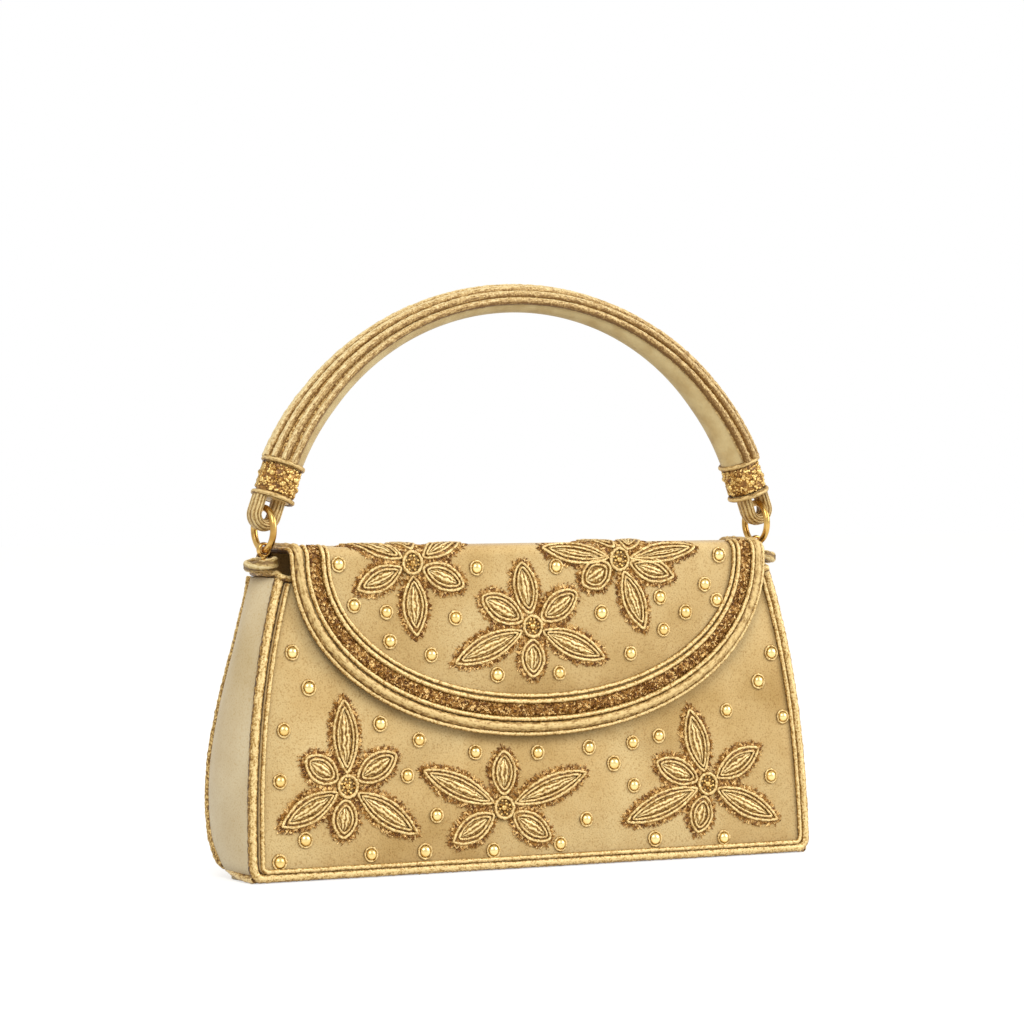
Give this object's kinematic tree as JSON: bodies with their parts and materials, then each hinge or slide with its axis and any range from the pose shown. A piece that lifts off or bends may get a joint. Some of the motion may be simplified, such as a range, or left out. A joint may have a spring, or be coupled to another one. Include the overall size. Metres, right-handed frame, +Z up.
{
  "type": "embroidered flap handbag",
  "caption": "Small rigid evening bag with an embroidered round front flap and an arched top handle that swings on two rings.",
  "frame": {"origin": "underside of the base, below the plane of the bag's middle", "axes": "+X along the bag's width, -Y towards the flap, +Z up"},
  "size_m": [0.2276, 0.0408, 0.2029],
  "materials": {
    "panel_cloth": "gold beige suede-like cloth",
    "gusset_cloth": "smooth pale beige cloth",
    "lining_cloth": "plain woven lining",
    "gold_cord": "twisted metallic gold cord",
    "bronze_thread": "dark bronze metallic embroidery",
    "gilt_metal": "smooth yellow gilt metal"
  },
  "bodies": {
    "bag": {"front_panel": "panel_cloth", "back_panel": "panel_cloth", "base_panel": "panel_cloth", "top_panel": "panel_cloth", "left_gusset": "gusset_cloth", "right_gusset": "gusset_cloth", "lining": "lining_cloth", "front_piping": "gold_cord", "front_trim_cord": "gold_cord", "back_piping": "gold_cord", "left_top_piping": "gold_cord", "right_top_piping": "gold_cord", "left_gusset_top_cord": "gold_cord", "right_gusset_top_cord": "gold_cord", "left_corner_loop": "gold_cord", "right_corner_loop": "gold_cord", "front_flower_left": "bronze_thread", "front_flower_centre": "bronze_thread", "front_flower_right": "bronze_thread", "snap_socket": "gilt_metal", "left_link": "gilt_metal", "right_link": "gilt_metal", "left_loop_bar": "gilt_metal", "right_loop_bar": "gilt_metal"},
    "flap": {"flap_panel": "panel_cloth", "flap_facing": "lining_cloth", "flap_outer_cord": "gold_cord", "flap_edge_piping": "gold_cord", "flap_border_cord": "gold_cord", "flap_inner_cord": "gold_cord", "flap_innermost_cord": "gold_cord", "flap_glitter_band": "bronze_thread", "flap_flower_left": "bronze_thread", "flap_flower_centre": "bronze_thread", "flap_flower_right": "bronze_thread", "snap_stud": "gilt_metal"},
    "handle": {"handle_grip": "panel_cloth", "left_end_strap": "gusset_cloth", "right_end_strap": "gusset_cloth", "left_ferrule_upper_cord": "gold_cord", "left_ferrule_lower_cord": "gold_cord", "right_ferrule_upper_cord": "gold_cord", "right_ferrule_lower_cord": "gold_cord", "handle_rib_1": "gold_cord", "handle_rib_2": "gold_cord", "handle_rib_3": "gold_cord", "handle_rib_4": "gold_cord", "handle_rib_5": "gold_cord", "left_ferrule": "bronze_thread", "right_ferrule": "bronze_thread"},
    "left_ring": {"left_ring": "gilt_metal"},
    "right_ring": {"right_ring": "gilt_metal"}
  },
  "joints": [
    {"name": "flap_open", "type": "hinge", "parent": "bag", "child": "flap", "pos_m": [0, -0.0098, 0.108], "axis": [-1, 0, 0], "range_deg": [0, 95]},
    {"name": "handle_swing", "type": "hinge", "parent": "bag", "child": "handle", "pos_m": [0, -0.002, 0.1183], "axis": [-1, 0, 0], "range_deg": [-60, 75]},
    {"name": "left_ring_turn", "type": "hinge", "parent": "bag", "child": "left_ring", "pos_m": [-0.1, -0.002, 0.1183], "axis": [1, 0, 0], "continuous": true},
    {"name": "right_ring_turn", "type": "hinge", "parent": "bag", "child": "right_ring", "pos_m": [0.1, -0.002, 0.1183], "axis": [1, 0, 0], "continuous": true}
  ]
}
